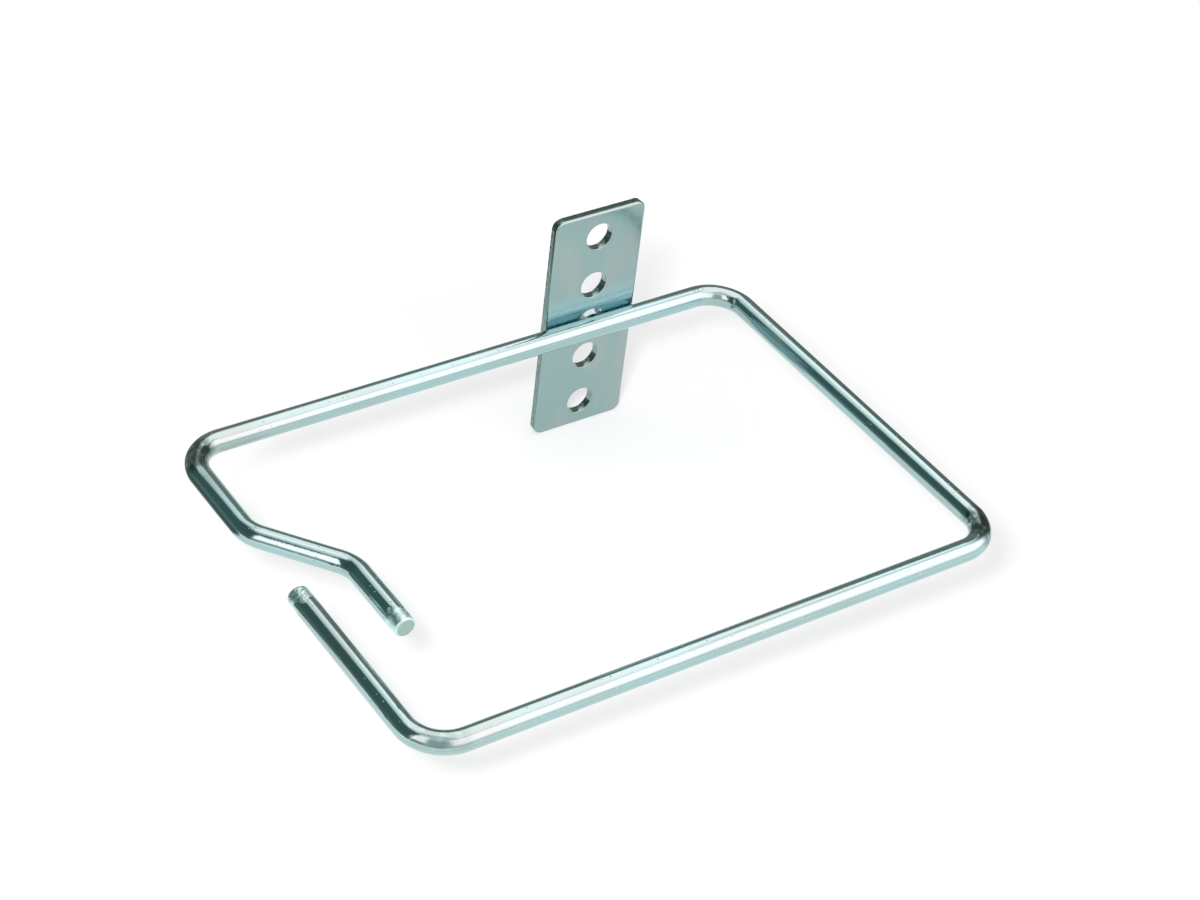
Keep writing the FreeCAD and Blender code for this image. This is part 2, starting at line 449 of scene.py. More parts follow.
PUNCHED_ZINC = ZincFinish(
    name="punched_hole_zinc",
    pattern=Pattern.PLACE,
    main_tone=(0.255, 0.35, 0.335),
    blue_tone=(0.24, 0.355, 0.345),
    grey_tone=(0.28, 0.35, 0.335),
    patch=2.5 * MM,
    roughness=(0.03, 0.06),
    grains=(Relief(0.25 * MM, 0.002 * MM, (1.0, 0.12, 1.0)),),
    pits=Relief(0.9 * MM, 0.004 * MM),
)

WELD_ZINC = ZincFinish(
    name="weld_zinc",
    pattern=Pattern.PLACE,
    main_tone=(0.305, 0.435, 0.445),
    blue_tone=(0.28, 0.44, 0.465),
    grey_tone=(0.34, 0.435, 0.44),
    patch=1.3 * MM,
    roughness=(0.14, 0.3),
    grains=(Relief(0.3 * MM, 0.015 * MM),),
    pits=Relief(0.8 * MM, 0.02 * MM),
)


def new_object(
    name: str, bm: bmesh.types.BMesh, materials: list[bpy.types.Material]
) -> bpy.types.Object:
    """Turn a finished bmesh into an object at the origin.

    Args:
        name: the object's name.
        bm: the mesh, which is freed.
        materials: materials in the order of the faces' material numbers.

    Returns:
        The new object, linked to the scene.
    """
    mesh = bpy.data.meshes.new(name)
    bm.to_mesh(mesh)
    bm.free()
    for material in materials:
        mesh.materials.append(material)
    made = bpy.data.objects.new(name, mesh)
    bpy.context.scene.collection.objects.link(made)
    return made


def finished(
    name: str, bm: bmesh.types.BMesh, finishes: list[ZincFinish], crease: float
) -> bpy.types.Object:
    """Turn a piece's bmesh into an object with smooth faces and its finishes.

    Args:
        name: the object's name.
        bm: the mesh, which is freed.
        finishes: finishes in the order of the faces' material numbers.
        crease: edges that turn by more than this angle, in radians, are sharp.

    Returns:
        The new object, linked to the scene.
    """
    for face in bm.faces:
        face.smooth = True
    piece = new_object(name, bm, [finish.material() for finish in finishes])
    piece.data.set_sharp_from_angle(angle=crease)
    return piece


def stand_for(piece: bpy.types.Object, node: Node) -> None:
    """Show a piece in place of its CAD node, on the part's one body.

    Args:
        piece: the piece.
        node: the node that it stands for.
    """
    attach(piece, BODY)
    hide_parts(node.value)
    log.info("%s: %d faces, stands for %s", piece.name, len(piece.data.polygons), node.value)


class DressedPiece:
    """Piece that is finer than its CAD node and is shown in the node's place."""

    node: ClassVar[Node]
    slot: ClassVar[Slot]

    def build(self) -> bpy.types.Object:
        """Make the piece."""
        raise NotImplementedError

    def dress(self) -> None:
        """Build the piece and put it in its node's place."""
        stand_for(self.build(), self.node)


class WireBender:
    """Feeds round wire straight on and bends it in the plane of the ring, as a bending machine does.

    Each point keeps its place on the straight wire, across, up and along, in an attribute.
    """

    def __init__(self, radius: float, sides: int, start: Vector, heading: float) -> None:
        """Set the first ring of points.

        Args:
            radius: radius of the wire.
            sides: points in each ring round the wire.
            start: centre of the first ring.
            heading: direction of feed in the plane of the ring, in radians from +X.
        """
        self.bm = bmesh.new()
        self.unbent = self.bm.verts.layers.float_vector.new(Pattern.UNBENT.value)
        # how dark each point of the bends is painted: partly tool wear, partly painted dark reflection
        self.wear_shade = self.bm.verts.layers.float.new(WEAR_SHADE)
        self.radius = radius
        self.place = start.copy()
        self.heading = heading
        self.fed = 0.0
        self.bends: list[Pair] = []
        pose = self.pose()
        ring = bmesh.ops.create_circle(self.bm, segments=sides, radius=radius, matrix=pose)
        back = pose.inverted()
        for vert in ring["verts"]:
            vert[self.unbent] = back @ vert.co
        self.edges = list(self.bm.edges)

    def forward(self) -> Vector:
        """Direction of feed."""
        return Vector((math.cos(self.heading), math.sin(self.heading), 0.0))

    def pose(self) -> Matrix:
        """Find where the wire's own axes, across, up and along, lie now.

        Returns:
            Matrix from those axes to the part's frame.
        """
        forward = self.forward()
        turned = Matrix((UP.cross(forward), UP, forward)).transposed().to_4x4()
        return Matrix.Translation(self.place) @ turned

    def grow(self, advance: float) -> list[bmesh.types.BMVert]:
        """Extrude the open ring by one step.

        Args:
            advance: length of straight wire in the step.

        Returns:
            The points of the new ring, still in the old one's place.
        """
        grown = bmesh.ops.extrude_edge_only(self.bm, edges=self.edges)["geom"]
        verts = [item for item in grown if isinstance(item, bmesh.types.BMVert)]
        new = set(verts)
        edges = [item for item in grown if isinstance(item, bmesh.types.BMEdge)]
        self.edges = [edge for edge in edges if new.issuperset(edge.verts)]
        for vert in verts:
            vert[self.unbent] += Vector((0.0, 0.0, advance))
        return verts

    def feed(self, length: float, step: float) -> None:
        """Feed wire straight on.

        Args:
            length: length of the run.
            step: about the length of each step.
        """
        steps = max(1, round(length / step))
        move = self.forward() * (length / steps)
        for _ in range(steps):
            bmesh.ops.translate(self.bm, verts=self.grow(length / steps), vec=move)
        self.place += self.forward() * length
        self.fed += length

    def bend(self, turn: float, radius: float, step: float) -> None:
        """Bend the wire.

        Args:
            turn: angle of the bend in radians, positive to the left of the feed.
            radius: radius of the bend at the wire's centre line.
            step: about the length of each step along the centre line.
        """
        side = math.copysign(1.0, turn)
        centre = self.place + UP.cross(self.forward()) * radius * side
        length = radius * abs(turn)
        steps = max(1, round(length / step))
        turned = Matrix.Rotation(turn / steps, 3, UP)
        for _ in range(steps):
            bmesh.ops.rotate(self.bm, cent=centre, matrix=turned, verts=self.grow(length / steps))
        self.place = centre + Matrix.Rotation(turn, 3, UP) @ (self.place - centre)
        self.heading += turn
        self.bends.append((self.fed, self.fed + length))
        self.fed += length

    def close(
        self, edges: list[bmesh.types.BMEdge], outward: Vector, advance: float, rounding: float
    ) -> None:
        """Round off and close one end of the wire.

        Args:
            edges: the open ring at that end.
            outward: direction that the end points in.
            advance: 1 at the end of the feed, -1 at its start.
            rounding: radius of the end's rim.
        """
        rim_steps = 6
        cap_rings = 5
        self.edges = edges
        centre = sum((edge.verts[0].co for edge in edges), Vector()) / len(edges)
        size = self.radius
        gone = 0.0
        for number in range(1, rim_steps + 1):
            angle = QUARTER * number / rim_steps
            reach = rounding * math.sin(angle)
            smaller = self.radius - rounding * (1.0 - math.cos(angle))
            verts = self.grow(advance * (reach - gone))
            bmesh.ops.translate(self.bm, verts=verts, vec=outward * (reach - gone))
            centre += outward * (reach - gone)
            self.shrink(verts, centre, smaller / size)
            gone = reach
            size = smaller
        for number in range(cap_rings - 1, 0, -1):
            smaller = (self.radius - rounding) * number / cap_rings
            self.shrink(self.grow(0.0), centre, smaller / size)
            size = smaller
        bmesh.ops.pointmerge(self.bm, verts=self.grow(0.0), merge_co=centre)

    def shrink(self, verts: list[bmesh.types.BMVert], centre: Vector, share: float) -> None:
        """Scale a ring about its centre.

        Args:
            verts: the ring's points.
            centre: its centre.
            share: its new size as a share of the old one.
        """
        for vert in verts:
            across = vert[self.unbent] * share
            vert[self.unbent] = (across.x, across.y, vert[self.unbent].z)
        about = Matrix.Translation(-centre)
        bmesh.ops.scale(self.bm, vec=(share, share, share), space=about, verts=verts)


@dataclass(frozen=True)
class ClampMark:
    """Shallow dent that the bending tool's clamp pressed into the wire beside a bend.

    Attributes:
        bend: number of the bend, in the order of the feed.
        past: how far the dent's middle lies beyond the end of that bend.
        around: its place round the wire, in radians upwards from the left of the feed.
        half_long: half its length along the wire.
        half_wide: half its width round the wire.
        depth: its greatest depth.
        floor: share of its reach that has that depth.
    """

    bend: int
    past: float
    around: float
    half_long: float
    half_wide: float
    depth: float
    floor: float = 0.4

    def depth_at(self, wire: WireBender, place: Vector) -> float:
        """Tell how deep the dent is at a place.

        Args:
            wire: the wire.
            place: the place on the unbent wire.

        Returns:
            The depth.
        """
        along = place.z - wire.bends[self.bend][1] - self.past
        across = wire.radius * (math.atan2(place.y, place.x) - self.around)
        out = math.hypot(along / self.half_long, across / self.half_wide)
        return self.depth * (1.0 - ease(out, self.floor, 1.0))


@dataclass
class WireRing(DressedPiece):
    """One length of drawn wire bent into an open rectangle whose two ends overlap at the entry."""

    node: ClassVar[Node] = Node.WIRE
    slot: ClassVar[Slot] = Slot.WIRE
    bend_inner: float = 6.0 * MM
    entry_gap: float = 9.0 * MM
    jog_lead: float = 25.6 * MM
    jog_angle: float = math.radians(38.0)
    tail_reach: float = 66.3 * MM
    front_leg: float = 48.7 * MM
    end_round: float = 0.5 * MM
    end_worked: float = 4.4 * MM
    end_border: float = 0.8
    end_ragged: float = 1.5 * MM
    end_skin: Pair = (0.7, 0.95)
    end_taper: float = 0.10 * MM
    cut_share: float = 0.95
    chips: tuple[Pair, ...] = ((1.1 * MM, 0.06 * MM), (0.45 * MM, 0.03 * MM))
    chip_sink: float = 0.5
    bend_marks: tuple[Pair, ...] = ((3.2 * MM, 0.035 * MM), (0.9 * MM, 0.006 * MM))
    clamp_marks: tuple[ClampMark, ...] = (
        ClampMark(5, 1.6 * MM, math.radians(34.0), 3.0 * MM, 1.2 * MM, 0.08 * MM),
        ClampMark(5, 2.6 * MM, math.radians(105.0), 1.2 * MM, 0.7 * MM, 0.05 * MM),
        ClampMark(2, -15.0 * MM, math.radians(75.0), 2.6 * MM, 0.8 * MM, 0.05 * MM),
    )
    # how dark each bend gets on its upper side: partly tool wear, partly painted dark reflection
    bend_wear_shade: tuple[float, ...] = (0.25, 0.1, 0.85, 0.05, 0.95, 0.25)
    wear_shade_upper: Pair = (-0.3, 0.4)
    wear_shade_blotch: Pair = (-0.7, 0.1)
    wear_shade_size: float = 1.3 * MM
    wear_shade_share: float = 0.72
    wear_shade_fade: float = 1.5 * MM
    bend_lead: float = 3.2 * MM
    sides: int = 64
    run_step: float = 6.0 * MM
    bend_step: float = 0.3 * MM
    end_step: float = 0.18 * MM
    crease: float = math.radians(60.0)

    def build(self) -> bpy.types.Object:
        """Bend the wire from the jogged end round to the straight end.

        Returns:
            The finished ring.
        """
        low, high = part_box(Node.WIRE.value)
        radius = 0.5 * (high.z - low.z)
        bend = self.bend_inner + radius
        left, right = low.x + radius, high.x - radius
        front, back = low.y + radius, high.y - radius
        tail = left + self.entry_gap + 2.0 * radius
        slope = (tail - left - 2.0 * bend * (1.0 - math.cos(self.jog_angle))) / math.sin(self.jog_angle)
        jog = 2.0 * bend * math.sin(self.jog_angle) + slope * math.cos(self.jog_angle)

        tail_tip = Vector((tail, back - self.tail_reach + self.end_round, 0.0))
        wire = WireBender(radius, self.sides, tail_tip, QUARTER)
        first = list(wire.edges)
        wire.feed(self.end_worked, self.end_step)
        self.straight(wire, self.tail_reach - self.end_round - self.jog_lead - jog - self.end_worked)
        wire.bend(self.jog_angle, bend, self.bend_step)
        self.straight(wire, slope)
        wire.bend(-self.jog_angle, bend, self.bend_step)
        self.straight(wire, self.jog_lead - bend)
        for run in (right - left, back - front, right - left):
            wire.bend(-QUARTER, bend, self.bend_step)
            self.straight(wire, run - 2.0 * bend)
        wire.bend(-QUARTER, bend, self.bend_step)
        self.straight(wire, self.front_leg - bend - self.end_round - self.end_worked)
        wire.feed(self.end_worked, self.end_step)
        wire.close(wire.edges, wire.forward(), 1.0, self.end_round)
        wire.close(first, Vector((0.0, -1.0, 0.0)), -1.0, self.end_round)
        bmesh.ops.recalc_face_normals(wire.bm, faces=wire.bm.faces[:])
        self.mark_faces(wire)
        self.work(wire)
        finishes = [WIRE_ZINC, CUT_END_ZINC, WORKED_END_ZINC]
        return finished("wire_ring_bent", wire.bm, finishes, self.crease)

    def straight(self, wire: WireBender, length: float) -> None:
        """Feed one straight run, in finer steps next to the bends.

        Args:
            wire: the wire.
            length: length of the run.
        """
        wire.feed(self.bend_lead, self.bend_step)
        wire.feed(length - 2.0 * self.bend_lead, self.run_step)
        wire.feed(self.bend_lead, self.bend_step)

    def from_end(self, wire: WireBender, place: Vector) -> float:
        """How far a place on the unbent wire lies from the nearer cut end."""
        return min(place.z, wire.fed - place.z) + self.end_round

    def worked(self, wire: WireBender, place: Vector) -> float:
        """Tell how much the cutter worked the wire at a place, with a ragged border.

        Args:
            wire: the wire.
            place: the place on the unbent wire.

        Returns:
            The share, from nought to one.
        """
        ragged = self.end_ragged * noise.noise(place / self.end_ragged)
        border = self.end_border * self.end_worked
        return 1.0 - ease(self.from_end(wire, place) + ragged, border, self.end_worked)

    def bent(self, wire: WireBender, place: Vector) -> float:
        """Tell how much the bending tool marked the wire at a place.

        Args:
            wire: the wire.
            place: the place on the unbent wire.

        Returns:
            The share, from nought to one.
        """
        lead = self.bend_lead
        return max(
            ease(place.z, start - lead, start) * (1.0 - ease(place.z, end, end + lead))
            for start, end in wire.bends
        )

    def wear_and_shade(self, wire: WireBender, place: Vector) -> float:
        """Tell how far the upper side of the bends is darkened: partly dull tool wear, partly painted dark
        reflection.

        Args:
            wire: the wire.
            place: the place on the unbent wire.

        Returns:
            The share, from nought to one.
        """
        upper = ease(place.y / wire.radius, *self.wear_shade_upper)
        blotch = ease(noise.noise(place / self.wear_shade_size), *self.wear_shade_blotch)
        darkened = 0.0
        for share, (start, end) in zip(self.bend_wear_shade, wire.bends):
            last = start + self.wear_shade_share * (end - start)
            rise = ease(place.z, start - self.wear_shade_fade, start + self.wear_shade_fade)
            darkened += share * rise * (1.0 - ease(place.z, last - self.wear_shade_fade, last + self.wear_shade_fade))
        return upper * blotch * darkened

    def roughen(self, place: Vector, marks: tuple[Pair, ...]) -> float:
        """Height of uneven marks at a place, from pairs of their size and height."""
        return sum(height * noise.noise(place / size) for size, height in marks)

    def work(self, wire: WireBender) -> None:
        """Crumple the cut ends and leave the bending tool's shallow marks on the bends.

        Args:
            wire: the bent wire.
        """
        wire.bm.normal_update()
        for vert in wire.bm.verts:
            place = vert[wire.unbent].copy()
            side = ease(math.hypot(place.x, place.y) / wire.radius, *self.end_skin)
            worked = side * self.worked(wire, place)
            taper = self.end_taper * worked * (1.0 - self.from_end(wire, place) / self.end_worked)
            chipped = worked * (self.roughen(place, self.chips) - self.chip_sink * self.chips[0][1])
            pressed = self.bent(wire, place) * self.roughen(place, self.bend_marks)
            dented = sum(mark.depth_at(wire, place) for mark in self.clamp_marks)
            # store the bends' darkening: partly tool wear, partly painted dark reflection
            vert[wire.wear_shade] = self.wear_and_shade(wire, place)
            vert.co += vert.normal * (chipped + pressed - taper - dented)

    def mark_faces(self, wire: WireBender) -> None:
        """Give the flat cut faces and the worked ends their own finishes.

        Args:
            wire: the bent wire.
        """
        flat = self.cut_share * (wire.radius - self.end_round)
        for face in wire.bm.faces:
            place = sum((vert[wire.unbent] for vert in face.verts), Vector()) / len(face.verts)
            if math.hypot(place.x, place.y) < flat:
                face.material_index = WireFace.CUT
            elif self.worked(wire, place) > 0.5:
                face.material_index = WireFace.WORKED


@dataclass(frozen=True)
class EdgeRoll:
    """How a punch pulls the face down beside a cut edge: a rounded lip and a long shallow sag."""

    depth: float
    reach: float
    sag_depth: float
    sag_reach: float

    def fall(self, distance: float) -> float:
        """Tell how far the face falls away.

        Args:
            distance: distance from the edge.

        Returns:
            The fall.
        """
        near = max(0.0, 1.0 - distance / self.reach)
        lip = self.depth * (1.0 - math.sqrt(1.0 - near * near))
        return lip + self.sag_depth * math.exp(-distance / self.sag_reach)


@dataclass
class MountingPlate(DressedPiece):
    """Blanked plate with four punched holes in a line."""

    node: ClassVar[Node] = Node.PLATE
    slot: ClassVar[Slot] = Slot.PLATE
    corner: float = 2.2 * MM
    corner_steps: int = 12
    hole_radius: float = 3.25 * MM
    hole_sides: int = 96
    outer_pitch: float = 44.45 * MM
    inner_pitch: float = 19.05 * MM
    blank_roll: EdgeRoll = EdgeRoll(
        depth=0.50 * MM, reach=0.55 * MM, sag_depth=0.04 * MM, sag_reach=0.7 * MM
    )
    hole_roll: EdgeRoll = EdgeRoll(
        depth=0.14 * MM, reach=0.24 * MM, sag_depth=0.02 * MM, sag_reach=0.5 * MM
    )
    lip_steps: int = 9
    lip_first: float = 0.012 * MM
    lip_growth: float = 1.42
    edge_step: float = 0.3 * MM
    wall_steps: int = 10
    wall_steep: float = 0.35
    wall_near: float = 1.1
    burnished: float = 0.35
    hole_flare: float = 0.07 * MM
    shear_depth: float = 0.18 * MM
    shear_size: float = 0.45 * MM
    shear_slant: float = 0.35
    crease: float = math.radians(40.0)

    def __post_init__(self) -> None:
        """Take the plate's box from the frame."""
        self.low, self.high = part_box(Node.PLATE.value)
        pitches = (self.outer_pitch, self.inner_pitch)
        self.holes = [side * 0.5 * pitch for pitch in pitches for side in (-1, 1)]

    def edge_distance(self, x: float, z: float) -> float:
        """Tell how far a point of the plate's face lies from the blank's outline.

        Args:
            x: the point's place across the plate.
            z: the point's height.

        Returns:
            The distance, nought on the outline and outside it.
        """
        across = abs(x) - self.high.x + self.corner
        along = abs(z) - self.high.z + self.corner
        outside = math.hypot(max(across, 0.0), max(along, 0.0)) + min(max(across, along), 0.0)
        return max(0.0, self.corner - outside)

    def nearest_hole(self, x: float, z: float) -> Vector:
        """From the centre of the nearest hole to a point, in the plate's plane."""
        hole = min(self.holes, key=lambda height: abs(z - height))
        return Vector((x, 0.0, z - hole))

    def fall(self, x: float, z: float) -> float:
        """How far the front face falls away at a point."""
        rim = max(0.0, self.nearest_hole(x, z).length - self.hole_radius)
        return max(self.blank_roll.fall(self.edge_distance(x, z)), self.hole_roll.fall(rim))

    def outline(self, bm: bmesh.types.BMesh) -> None:
        """Draw the blank's rounded outline and the four holes as edges on the front face's plane.

        Args:
            bm: the empty mesh.
        """
        sides = ((self.low.x, self.high.x), (self.high.x, self.low.x))
        levels = (self.low.z, self.high.z)
        corners = [(x, self.low.y, z) for pair, z in zip(sides, levels) for x in pair]
        bm.faces.new([bm.verts.new(corner) for corner in corners])
        bmesh.ops.bevel(
            bm,
            geom=bm.verts[:],
            offset=self.corner,
            segments=self.corner_steps,
            profile=0.5,
            affect="VERTICES",
            material=-1,
        )
        for edge in bm.edges[:]:
            cuts = round(edge.calc_length() / self.edge_step) - 1
            if cuts > 0:
                bmesh.ops.subdivide_edges(bm, edges=[edge], cuts=cuts)
        bmesh.ops.delete(bm, geom=bm.faces[:], context="FACES_ONLY")
        upright = Matrix.Rotation(QUARTER, 4, "X")
        for hole in self.holes:
            place = Matrix.Translation((0.0, self.low.y, hole)) @ upright
            bmesh.ops.create_circle(bm, segments=self.hole_sides, radius=self.hole_radius, matrix=place)

    def build(self) -> bpy.types.Object:
        """Blank and punch the plate.

        Returns:
            The finished plate.
        """
        bm = bmesh.new()
        self.outline(bm)
        bmesh.ops.triangle_fill(bm, edges=bm.edges[:], use_beauty=True, normal=(0.0, -1.0, 0.0))
        inner = bm.faces[:]
        for step in range(self.lip_steps):
            width = self.lip_first * self.lip_growth ** step
            bmesh.ops.inset_region(
                bm, faces=inner, thickness=width, use_boundary=True, use_even_offset=True
            )
        for vert in bm.verts:
            vert.co.y += self.fall(vert.co.x, vert.co.z)
        self.wall(bm)
        bmesh.ops.recalc_face_normals(bm, faces=bm.faces[:])
        self.mark_walls(bm)
        self.shear(bm)
        finishes = [PLATE_ZINC, SHEARED_ZINC, PUNCHED_ZINC]
        return finished("mounting_plate_blanked", bm, finishes, self.crease)

    def wall(self, bm: bmesh.types.BMesh) -> None:
        """Extrude the cut edges through the thickness and close the back.

        Args:
            bm: the mesh of the front face.
        """
        edges = [edge for edge in bm.edges if edge.is_boundary]
        for left in range(self.wall_steps, 0, -1):
            grown = bmesh.ops.extrude_edge_only(bm, edges=edges)["geom"]
            for item in grown:
                if isinstance(item, bmesh.types.BMVert):
                    item.co.y += (self.high.y - item.co.y) / left
            edges = [edge for edge in bm.edges if edge.is_boundary]
        bmesh.ops.triangle_fill(bm, edges=edges, use_beauty=True, normal=(0.0, 1.0, 0.0))

    def mark_walls(self, bm: bmesh.types.BMesh) -> None:
        """Give the sheared outline and the punched holes their own finishes.

        Args:
            bm: the closed mesh.
        """
        near = self.wall_near * self.hole_radius
        for face in bm.faces:
            if abs(face.normal.y) < self.wall_steep:
                centre = face.calc_center_median()
                punched = self.nearest_hole(centre.x, centre.z).length < near
                face.material_index = PlateFace.PUNCHED if punched else PlateFace.SHEARED

    def shear(self, bm: bmesh.types.BMesh) -> None:
        """Tear the outer walls and flare the holes towards the back, where the metal broke.

        Args:
            bm: the closed mesh, with its walls marked.
        """
        bm.normal_update()
        moves = {}
        for face in bm.faces:
            if face.material_index != PlateFace.FLAT:
                for vert in face.verts:
                    moves[vert] = self.torn(vert, face.material_index)
        for vert, move in moves.items():
            vert.co += move

    def torn(self, vert: bmesh.types.BMVert, wall: int) -> Vector:
        """Find how the break moved one point of a wall.

        Args:
            vert: the point.
            wall: material number of the wall.

        Returns:
            The move, in the plate's plane.
        """
        broken = ease((vert.co.y - self.low.y) / (self.high.y - self.low.y), self.burnished, 1.0)
        if wall == PlateFace.PUNCHED:
            return self.nearest_hole(vert.co.x, vert.co.z).normalized() * (self.hole_flare * broken)
        slant = self.shear_slant * vert.co.y
        tear = unevenness(Vector((vert.co.x + slant, 0.0, vert.co.z + slant)) / self.shear_size)
        return Vector((vert.normal.x, 0.0, vert.normal.z)) * (-self.shear_depth * broken * tear)


@dataclass
class WeldNugget(DressedPiece):
    """Metal of the resistance weld, squeezed out round the wire where it meets the plate.

    A globule is given by its place across and up the plate and by its radius, in millimetres.
    """

    node: ClassVar[Node] = Node.WELD
    slot: ClassVar[Slot] = Slot.WELD
    rim: float = 0.72
    rim_wide: float = 0.26
    rim_power: int = 6
    middle_share: float = 0.5
    uneven: float = 0.30
    uneven_reach: float = 0.15
    lump_size: float = 0.55
    lump_shift: float = 5.0
    dome_faces: Counts = (96, 64)
    globule_faces: Counts = (24, 16)
    crease: float = math.radians(60.0)
    globules: tuple[Triple, ...] = ((2.45, 2.0, 0.5), (-1.5, 2.1, 0.4), (1.2, -2.5, 0.45))

    def __post_init__(self) -> None:
        """Take the nugget's box and the wire's centre line from the frame."""
        self.low, self.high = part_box(Node.WELD.value)
        wire_low, wire_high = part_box(Node.WIRE.value)
        self.wire_radius = 0.5 * (wire_high.z - wire_low.z)
        self.wire_y = wire_high.y - self.wire_radius

    def build(self) -> bpy.types.Object:
        """Press a dome of metal between the wire and the plate, with a few globules at its rim.

        Returns:
            The finished nugget.
        """
        bm = bmesh.new()
        self.dome(bm, Vector((0.0, self.high.y, 0.0)), 1.0, self.dome_faces)
        for vert in bm.verts:
            vert.co = self.pressed(vert.co)
        for x, z, size in self.globules:
            self.dome(bm, Vector((x * MM, self.high.y, z * MM)), size * MM, self.globule_faces)
        bmesh.ops.recalc_face_normals(bm, faces=bm.faces[:])
        return finished("weld_nugget_squeezed", bm, [WELD_ZINC], self.crease)

    def dome(self, bm: bmesh.types.BMesh, place: Vector, radius: float, segments: Counts) -> None:
        """Add half a ball whose flat side lies on the plate.

        Args:
            bm: the mesh.
            place: centre of the flat side.
            radius: radius of the ball.
            segments: faces round the ball and from pole to pole.
        """
        around, down = segments
        upright = Matrix.Translation(place) @ Matrix.Rotation(QUARTER, 4, "X")
        ball = bmesh.ops.create_uvsphere(
            bm, u_segments=around, v_segments=down, radius=radius, matrix=upright
        )
        verts = ball["verts"]
        faces = list({face for vert in verts for face in vert.link_faces})
        edges = list({edge for vert in verts for edge in vert.link_edges})
        bmesh.ops.bisect_plane(
            bm, geom=verts + edges + faces, plane_co=place, plane_no=(0.0, 1.0, 0.0), clear_outer=True
        )
        open_rim = [edge for edge in bm.edges if edge.is_boundary]
        bmesh.ops.edgeloop_fill(bm, edges=open_rim)

    def pressed(self, ball: Vector) -> Vector:
        """Where a point of the unit ball ends up when the dome is pressed on the plate under the wire.

        Args:
            ball: the point on the unit ball.

        Returns:
            Its place on the nugget.
        """
        lumps = Vector((ball.x, self.lump_shift, ball.z)) / self.lump_size
        lump = 1.0 - self.uneven * unevenness(lumps)
        reach = self.high.x * (1.0 - self.uneven_reach * unevenness(lumps + UP))
        out = math.hypot(ball.x, ball.z)
        raised = math.exp(-(((out - self.rim) / self.rim_wide) ** 2))
        profile = max(raised, self.middle_share) * math.sqrt(max(0.0, 1.0 - out ** self.rim_power))
        front = self.high.y - (self.high.y - self.low.y) * lump * profile
        place = Vector((reach * ball.x, front, reach * ball.z))
        if abs(place.z) < self.wire_radius:
            saddle = self.wire_y + math.sqrt(self.wire_radius ** 2 - place.z ** 2)
            place.y = max(place.y, min(saddle, self.high.y))
        return place


def seen_by_eye(sheet: NodeSheet) -> Socket:
    """Pick out the rays from the camera and those that metal or glass sends on.

    Args:
        sheet: the tree of the surface or of the world.

    Returns:
        One for such rays, else nought.
    """
    rays = sheet.add("ShaderNodeLightPath", {}).outputs
    mirrored = sheet.maths("MAXIMUM", rays["Is Glossy Ray"], rays["Is Transmission Ray"])
    return sheet.maths("MAXIMUM", rays["Is Camera Ray"], mirrored)


@dataclass(frozen=True)
class Table:
    """Round white table that the plate stands on, with a bay behind the left of the ring."""

    radius: float = 0.21
    sides: int = 128
    bay_centre: Triple = (-0.107, 0.135, 0.0)
    bay_rim: Pair = (0.089, 0.101)
    glow: Pair = (0.43, 0.68)
    glow_reach: Pair = (0.105, 0.20)
    albedo: float = 0.70

    def build(self, middle: Vector) -> None:
        """Put the table under the plate.

        Args:
            middle: the middle of the ring, which the table is centred below.
        """
        foot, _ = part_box(Node.PLATE.value)
        bm = bmesh.new()
        bmesh.ops.create_circle(bm, cap_ends=True, segments=self.sides, radius=self.radius)
        table = new_object("table", bm, [self.material()])
        table.location = (middle.x, middle.y, foot.z)

    def material(self) -> bpy.types.Material:
        """Make the table white from above, with the object's shadow, and open below and in the bay.

        Returns:
            The material.
        """
        material = bpy.data.materials.new("table_white")
        sheet = NodeSheet(material)
        grey = (self.albedo, self.albedo, self.albedo, 1.0)
        shaded = sheet.add("ShaderNodeBsdfDiffuse", {"Color": grey})
        place = sheet.place(Pattern.PLACE)
        away = sheet.add("ShaderNodeVectorMath", {0: place}, operation="LENGTH").outputs["Value"]
        level = sheet.span(away, self.glow_reach, self.glow)
        strength = sheet.maths("MULTIPLY", seen_by_eye(sheet), level)
        glow = sheet.add("ShaderNodeEmission", {"Strength": strength})
        white = sheet.add("ShaderNodeAddShader", {0: shaded.outputs[0], 1: glow.outputs[0]})
        under = sheet.add("ShaderNodeNewGeometry", {}).outputs["Backfacing"]
        reach = sheet.add("ShaderNodeVectorMath", {0: place, 1: self.bay_centre}, operation="DISTANCE")
        bay = sheet.span(reach.outputs["Value"], self.bay_rim, FALL)
        clear = sheet.add("ShaderNodeBsdfTransparent", {})
        shares = {0: sheet.maths("MAXIMUM", under, bay), 1: white.outputs[0], 2: clear.outputs[0]}
        both = sheet.add("ShaderNodeMixShader", shares)
        sheet.output("ShaderNodeOutputMaterial", both.outputs[0])
        return material


@dataclass(frozen=True)
class Bearing:
    """Direction from the middle of the ring, in degrees: azimuth from +Y towards +X, and elevation."""

    azimuth: float
    elevation: float

    def facing(self, middle: Vector, distance: float) -> Matrix:
        """Place a panel in this direction, so that its -Z side faces the middle.

        Args:
            middle: the middle of the ring.
            distance: how far away the panel is.

        Returns:
            The panel's matrix.
        """
        azimuth, elevation = math.radians(self.azimuth), math.radians(self.elevation)
        flat = math.cos(elevation)
        away = Vector((math.sin(azimuth) * flat, math.cos(azimuth) * flat, math.sin(elevation)))
        across = UP.cross(away).normalized()
        turned = Matrix((across, away.cross(across), away)).transposed().to_4x4()
        return Matrix.Translation(middle + away * distance) @ turned


